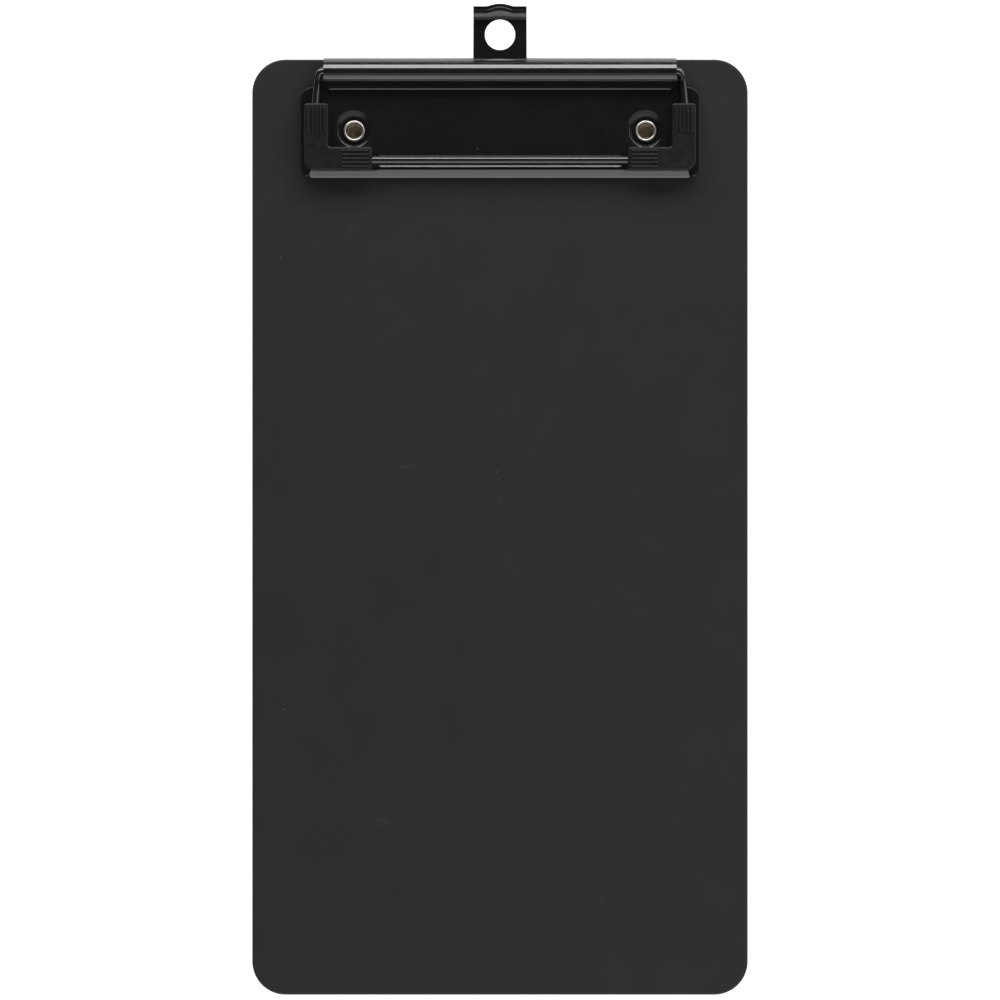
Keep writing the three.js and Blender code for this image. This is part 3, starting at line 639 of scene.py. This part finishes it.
def make_base_plate(material):
    half = [
        (PLATE_HALF_WIDTH, PLATE_FRONT, PLATE_CORNER),
        (PLATE_HALF_WIDTH, PLATE_REAR, PLATE_CORNER),
        (SHOULDER_HALF_WIDTH, PLATE_REAR, 0.3),
        (SHOULDER_HALF_WIDTH, SHOULDER_REAR, 0.9),
        (NECK_HALF_WIDTH, SHOULDER_REAR, 0.2),
        (NECK_HALF_WIDTH, NECK_REAR, 1.2),
    ]
    outline = rounded_outline(both_sides(half), longest=0.6)
    blends = []
    for i, point in enumerate(outline):
        along = (outline[(i + 1) % len(outline)] - outline[i - 1]).normalized()
        at_front = point.y < PLATE_FRONT + PLATE_CORNER
        frontness = smooth((along.x - 0.86) / 0.14) if at_front else 0.0
        inside_ridge = RIDGE_HALF_LENGTH + RIDGE_FADE / 2 - abs(point.x)
        blends.append((frontness, smooth(inside_ridge / RIDGE_FADE)))
    rings = []
    for side, front, ridge in zip(*plate_profiles()):
        mixed = []
        for frontness, ridgeness in blends:
            rim = [f + (r - f) * ridgeness for f, r in zip(front, ridge)]
            mixed.append([s + (r - s) * frontness for s, r in zip(side, rim)])
        moved = inset(outline, [distance for distance, height in mixed])
        rings.append([(p.x, p.y, BOARD_TOP + z) for p, (distance, z) in zip(moved, mixed)])
    sheet = PLATE_SHEET
    under = PLATE_HEIGHT - sheet
    hollow_half = [
        (PLATE_HALF_WIDTH - sheet, PLATE_FRONT + sheet, 2.1),
        (PLATE_HALF_WIDTH - sheet, PLATE_REAR - sheet, 2.1),
        (NECK_HALF_WIDTH - sheet, PLATE_REAR - sheet, 0.3),
        (NECK_HALF_WIDTH - sheet, NECK_REAR - sheet, 1.4),
    ]
    hollow_outline = rounded_outline(both_sides(hollow_half))
    hollow = [(0.0, 0.0), (0.0, 0.2), (0.85, under - 0.1), (1.0, under), (1.1, under)]
    shape = Shape()
    outside = shape.loft(rings)
    inside = shape.loft([
        [(p.x, p.y, BOARD_TOP + z) for p in inset(hollow_outline, [distance] * len(hollow_outline))]
        for distance, z in hollow
    ])
    tops, bottoms = [outside[-1]], [inside[-1]]
    for side in SIDES:
        bore = shape.loft([
            circle(side * RIVET_X, RIVET_Y, radius, BOARD_TOP + height, in_plan)
            for radius, height in dish_profile(under)
        ])
        tops.append(bore[0])
        bottoms.append(bore[-1])
    shape.cap(*tops)
    shape.cap(*bottoms)
    shape.cap(outside[0], inside[0])
    for side in SIDES:
        add_ear(shape, side)
    return make_piece("clip_plate", shape, "frame", material, "base_plate")


def dish_profile(under):
    """(radius, height) from the plate's top, down the rivet's dish and hole, and out below."""
    floor = PLATE_SHEET
    rim = [(5.5, PLATE_HEIGHT), (5.4, 1.796), (5.28, 1.782), (5.12, 1.753)]
    rim += [(4.9, 1.705), (4.6, 1.635), (4.3, 1.56)]
    wall = [(4.12, 1.505), (4.04, 1.455), (3.98, 1.36), (3.91, 1.15)]
    wall += [(3.84, 0.95), (3.78, 0.86), (3.7, 0.81)]
    return [
        *rim,
        *wall,
        (3.6, floor),
        (RIVET_HOLE + 0.06, floor),
        (RIVET_HOLE, floor - 0.06),
        (RIVET_HOLE, 0.0),
        (4.7, 0.0),
        (5.9, under - 0.1),
        (6.0, under),
        (6.1, under),
    ]


def add_ear(shape, side):
    """The upright ear at one end of the neck, with the stub that the lever turns on."""
    height = HINGE_Z - BOARD_TOP
    outline = [(-4.8, 1.2), (-2.1, 1.2)]
    outline += arc((0, height), EAR_RADIUS, -119, 112, 20)
    outline += [(-1.6, 2.25), (-4.8, PLATE_HEIGHT - 0.02)]
    points = [Vector((y + HINGE_Y, z + BOARD_TOP)) for y, z in outline]
    outer = NECK_HALF_WIDTH
    end = outer + STUB_LENGTH

    def upright(y, z, x):
        return (side * x, y, z)

    add_slab(shape, points, edge_rings(outer - EAR_THICKNESS, outer, EAR_EDGE, 2), upright)
    stub = [(0.0, outer - 0.1), (STUB_RADIUS, outer - 0.1)]
    stub += [(STUB_RADIUS, end - 0.12), (STUB_RADIUS - 0.12, end), (0.0, end)]
    add_turned(shape, stub, lambda u, v, w: (side * w, HINGE_Y + u, HINGE_Z + v), sides=32)


def add_turned(shape, profile, place, sides=64):
    """A turned solid from (radius, height) points that start and end on its axis."""
    rings = [circle(0.0, 0.0, radius, height, place, sides) for radius, height in profile[1:-1]]
    indices = shape.loft(rings)
    shape.faces.append(tuple(indices[0]))
    shape.faces.append(tuple(indices[-1]))


def hood_line():
    """The hood's outer face as (y, z) from its front wall over the crown to its rear edge."""
    crown = HOOD_TURN.index(HOOD_CROWN)
    halves = []
    for step in (-1, 1):
        y, z = HOOD_TURN[crown][0], LEVER[1].z / MM - HINGE_Z
        points = [(y, z)]
        i = crown
        while 0 <= i + step < len(HOOD_TURN):
            (y0, turn0), (y1, turn1) = HOOD_TURN[i], HOOD_TURN[i + step]
            for k in range(4):
                turn = turn0 + (turn1 - turn0) * (k + 0.5) / 4
                z -= math.tan(math.radians(turn)) * (y1 - y0) / 4
                points.append((y0 + (y1 - y0) * (k + 1) / 4, z))
            i += step
        halves.append(points)
    return halves[0][:0:-1] + halves[1]


def lever_lines():
    """Matching outer and inner lines of (y, z) from the flange's front to the hood's rear."""
    front = LEVER[0].y / MM - HINGE_Y
    top = FLANGE_TOP
    lip = FLANGE_LIP
    bend_start = HOOD_WALL - WALL_FILLET
    outer = [(front, top - LEVER_SHEET), (front, top - lip)]
    outer += arc((front + lip, top - lip), lip, 172, 90, 6)
    outer += [(front + lip + 0.3, top), (-5.2, top), (bend_start - 0.05, top)]
    outer += arc((bend_start, top + WALL_FILLET), WALL_FILLET, -90, -4, 6)
    outer += hood_line()
    inner = offset_line(outer, LEVER_SHEET)
    for i in range(9):      # the lip's underside is flat
        inner[i] = (front + 0.02 + 0.06 * i, top - LEVER_SHEET)
    return outer, inner


def offset_line(line, distance):
    """The line moved towards its right-hand side."""
    moved = []
    for i, (y, z) in enumerate(line):
        (y0, z0), (y1, z1) = line[max(0, i - 1)], line[min(len(line) - 1, i + 1)]
        length = math.hypot(y1 - y0, z1 - z0)
        moved.append((y + (z1 - z0) / length * distance, z - (y1 - y0) / length * distance))
    return moved


def make_lever(material):
    outer, inner = lever_lines()
    full = LEVER[1].x / MM
    shape = Shape()

    def half_width(i):
        y = outer[i][0]
        if y > HOOD_WALL - 0.3:
            return full
        short = max(0.0, FLANGE_CORNER - (y - outer[0][0]))
        rounding = math.sqrt(max(0.0, FLANGE_CORNER ** 2 - short ** 2))
        return FLANGE_HALF_WIDTH - FLANGE_CORNER + rounding

    shifted = [[(y + HINGE_Y, z + HINGE_Z) for y, z in line] for line in (outer, inner)]
    add_sheet(shape, *shifted, half_width, columns=24)
    for side in SIDES:
        add_cheek(shape, side)
    return make_piece("lever_hood", shape, "lever", material, "lever", bevel=0.09)


def add_cheek(shape, side):
    """The plate that closes one end of the hood, with holes for the stub and the bail's leg."""
    middle = LEVER_SHEET / 2
    outline = [(HOOD_WALL + middle, FLANGE_TOP - middle), (-3.0, -0.9)]
    outline += arc((0, 0), CHEEK_RADIUS, -112, -22, 12)
    outline += [(y, z) for y, z in offset_line(hood_line(), middle)[::-3] if z > -0.4]
    points = [Vector((y + HINGE_Y, z + HINGE_Z)) for y, z in outline]
    sides = (CHEEK_INNER, CHEEK_OUTER, CHEEK_EDGE, 2)

    def upright(y, z, x):
        return (side * x, y, z)

    holes = [
        (HINGE_Y, HINGE_Z, hole_rings(STUB_HOLE, *sides)),
        (LEG_Y, LEG_Z, hole_rings(LEG_HOLE, *sides)),
    ]
    add_slab(shape, points, edge_rings(*sides), upright, holes)


def bezier(start, control, end, steps):
    return [
        start * (1 - t) ** 2 + control * 2 * t * (1 - t) + end * t ** 2
        for t in (k / steps for k in range(1, steps + 1))
    ]


def bail_half(side):
    """Centre line from one leg's inner end to the front bar's start."""
    at = [Vector((side * x, LEG_Y + y, LEG_Z + z)) for x, y, z in BAIL_CORNERS]
    path = [at[0], at[0].lerp(at[1], 0.5), at[1]]
    path += bezier(at[1], at[2], at[3], 10)
    path += bezier(at[3], at[4], at[5], 10)
    path += bezier(at[5], at[6], at[7], 8)
    path += [at[7].lerp(at[8], k / 4) for k in range(1, 5)]
    path += bezier(at[8], at[9], at[10], 12)
    return path


def make_bail(material):
    left, right = bail_half(-1), bail_half(1)[::-1]
    divisions = 60
    bar = [left[-1].lerp(right[0], k / divisions) for k in range(1, divisions)]
    shape = Shape()
    add_tube(shape, left + bar + right, WIRE_RADIUS)
    return make_piece("bail", shape, "bail", material, "bail_wire")


def make_grip(name, side, node, material):
    """An L-shaped grip over one corner of the bail, with ribs on each arm."""
    front, rear = GRIP[0].y / MM, GRIP[1].y / MM
    outer_x, end_x = GRIP[1].x / MM, GRIP[0].x / MM
    inner_x = outer_x - GRIP_LEG_ARM
    bar_rear = front + GRIP_BAR_ARM
    top = LEG_Z + GRIP_ABOVE
    corners = [
        (outer_x, front, GRIP_OUTER_CORNER),
        (outer_x, rear, GRIP_END_CORNER),
        (inner_x, rear, GRIP_END_CORNER),
        (inner_x, bar_rear, GRIP_INNER_CORNER),
        (end_x, bar_rear, GRIP_END_CORNER),
        (end_x, front, GRIP_END_CORNER),
    ]

    def mirrored(x, y, z):
        return (side * x, y, z)

    shape = Shape()
    body = edge_rings(LEG_Z - GRIP_BELOW, top, GRIP_EDGE, 5)
    add_slab(shape, rounded_outline(corners, 2.0), body, mirrored)
    half = RIB_HALF_WIDTH
    for i in range(RIB_COUNT):
        offset = (i - (RIB_COUNT - 1) / 2) * RIB_PITCH
        x = end_x + RIB_START
        y = (front + bar_rear) / 2 + offset
        add_rib(shape, x, x + RIB_LENGTH, y - half, y + half, top, mirrored)
        x = (inner_x + outer_x) / 2 + offset
        y = rear - RIB_START
        add_rib(shape, x - half, x + half, y - RIB_LENGTH, y, top, mirrored)
    return make_piece(name, shape, "bail", material, node)


def add_rib(shape, x0, x1, y0, y1, base, place):
    corners = [(x, y, RIB_CORNER) for x, y in ((x1, y0), (x1, y1), (x0, y1), (x0, y0))]
    rings = [(distance, base + height) for distance, height in RIB_RINGS]
    add_slab(shape, rounded_outline(corners, 2.0, math.radians(30)), rings, place)


def make_hanger(material):
    """The pull-out strip: stop bar, flat tab, bend and lip, with the hanging hole cut through."""
    bottom = BOARD_TOP + HANGER_GAP
    floor = bottom + HANGER_SHEET
    centre = (LIP_Y - HANGER_BEND, bottom + HANGER_BEND)
    top = HANGER[1].z / MM
    front = HANGER[0].y / MM
    starts = [front, HINGE_Y - 5.4, HINGE_Y - 5.2, STOP_REAR - 0.2, STOP_REAR, STOP_REAR + 0.02]
    flat_rows = starts + [STOP_REAR + (centre[0] - STOP_REAR) * k / 12 for k in range(1, 12)]
    outer = [(y, bottom) for y in flat_rows] + arc(centre, HANGER_BEND, -90, 0, 24)
    inner = [(y, floor) for y in flat_rows] + arc(centre, HANGER_BEND - HANGER_SHEET, -90, 0, 24)
    rises = [centre[1] + (top - centre[1]) * k / 3 for k in range(1, 4)]
    outer += [(LIP_Y, z) for z in rises]
    inner += [(LIP_Y - HANGER_SHEET, z) for z in rises]

    def half_width(i):
        if i >= len(flat_rows) or flat_rows[i] > STOP_REAR + 0.01:
            return TAB_HALF_WIDTH
        return STOP_HALF_WIDTH - max(0.0, STOP_CORNER - (flat_rows[i] - front))

    shape = Shape()
    add_sheet(shape, outer, inner, half_width, columns=64)
    for i, (x, y, z) in enumerate(shape.points):
        shape.points[i] = (x, y + lip_bulge(x, z - floor, top - floor), z)
    piece = make_piece("hanging_tab", shape, "hanger", material, "hanger", bevel=0.07)
    cut_hole(piece, 0.0, EYE_Y, EYE_RADIUS)
    return piece


def lip_bulge(x, up, full):
    """How far the lip bows backwards, most in its middle and at its top edge."""
    across = max(0.0, 1 - abs(x) / LIP_BULGE_HALF_WIDTH)
    rise = min(1.0, max(0.0, up / full))
    return LIP_BULGE * math.sin(across * math.pi / 2) * math.sin(rise * math.pi / 2)


def cut_hole(piece, x, y, radius):
    """Cuts a round hole straight down through a piece, before its edges are rounded."""
    shape = Shape()
    indices = shape.loft([
        circle(x, y, radius, z, in_plan, sides=96) for z in (BOARD_TOP - 2, BOARD_TOP + 5)
    ])
    shape.faces += [tuple(indices[0]), tuple(indices[-1])]
    cutter = add_object("cutter", shape)
    weld(cutter.data)
    hole = piece.modifiers.new("hole", "BOOLEAN")
    hole.operation = "DIFFERENCE"
    hole.solver = "EXACT"
    hole.object = cutter
    piece.modifiers.move(piece.modifiers.find("hole"), 0)
    bpy.context.view_layer.objects.active = piece
    with bpy.context.temp_override(object=piece, active_object=piece, selected_objects=[piece]):
        bpy.ops.object.modifier_apply(modifier="hole")
    bpy.data.objects.remove(cutter)
    shade(piece.data)


def make_rivet(name, side, node, material):
    """A hollow rivet: its closed head in the board's back, its shank and its rolled collar."""
    head = RIVET_HEAD
    collar = BOARD_TOP + PLATE_SHEET + 0.02
    bore, shank = RIVET_BORE, RIVET_SHANK
    profile = [(0.0, head), (3.4, head), (3.7, head + 0.05), (3.95, head + 0.22)]
    profile += [(4.0, head + 0.4), (3.9, head + 0.6), (3.7, head + 0.7), (shank, head + 0.7)]
    profile += [(shank, collar), (RIVET_FLARE, collar)]
    profile += arc((2.33, collar + 0.4), (0.35, 0.38), -50, 165, 16)
    profile += [(bore, collar + 0.35), (bore, collar), (bore - 0.02, head + 1.1)]
    profile += [(bore - 0.25, head + 0.9), (bore - 0.5, head + 0.86), (0.0, head + 0.85)]
    shape = Shape()
    add_turned(shape, profile, lambda u, v, w: (side * RIVET_X + u, RIVET_Y + v, w), sides=72)
    return make_piece(name, shape, "frame", material, node)


# ---- The stage ------------------------------------------------------------------------------

def make_table():
    shape = Shape()
    square = ((1, -1), (1, 1), (-1, 1), (-1, -1))
    ring = shape.ring([(x * TABLE_HALF, y * TABLE_HALF, TABLE_TOP) for x, y in square])
    shape.faces.append(tuple(ring))
    table = add_object("table", shape)
    table.data.materials.append(table_material())


def make_light(name, azimuth, elevation, width, height, radiance):
    """A soft rectangular light that faces the clip."""
    data = bpy.data.lights.new(name, "AREA")
    data.shape = "RECTANGLE"
    data.size = 2 * LIGHT_DISTANCE * math.tan(math.radians(width / 2))
    data.size_y = 2 * LIGHT_DISTANCE * math.tan(math.radians(height / 2))
    data.energy = radiance * math.pi * data.size * data.size_y
    light = bpy.data.objects.new(name, data)
    a, e = math.radians(azimuth), math.radians(elevation)
    away = Vector((math.sin(a) * math.cos(e), -math.cos(a) * math.cos(e), math.sin(e)))
    light.location = Vector((0.0, HINGE_Y * MM, 0.0)) + away * LIGHT_DISTANCE
    light.rotation_mode = "QUATERNION"
    light.rotation_quaternion = away.to_track_quat("Z", "Y")
    light.visible_camera = False
    bpy.context.scene.collection.objects.link(light)


def make_room():
    world = bpy.data.worlds.new("room")
    world.use_nodes = True
    background = world.node_tree.nodes["Background"]
    background.inputs["Color"].default_value = (1, 1, 1, 1)
    background.inputs["Strength"].default_value = ROOM_STRENGTH
    bpy.context.scene.world = world


def make_camera():
    """Straight above the board, far away; the view's centre is a little nearer to the clip."""
    data = bpy.data.cameras.new("camera")
    data.sensor_width = SENSOR
    data.lens = LENS
    camera = bpy.data.objects.new("camera", data)
    camera.location = (0.0, VIEW_CENTRE_Y, BOARD[1].z + VIEW_WIDTH * LENS / SENSOR)
    bpy.context.scene.collection.objects.link(camera)
    bpy.context.scene.camera = camera


bpy.context.scene.view_settings.view_transform = "Standard"
make_camera()
make_room()
for light_values in LIGHTS:
    make_light(*light_values)
make_table()

paint = paint_material("clip_paint")
grips = grip_material()
nickel = rivet_material()
make_board(board_material())
make_base_plate(paint)
make_lever(paint)
make_bail(paint_material("wire_paint", scuff=0.6))
make_hanger(paint)
for label, mirror in (("left", -1), ("right", 1)):
    make_grip("grip_" + label, mirror, "corner_grip_" + label, grips)
    make_rivet("eyelet_" + label, mirror, "rivet_" + label, nickel)
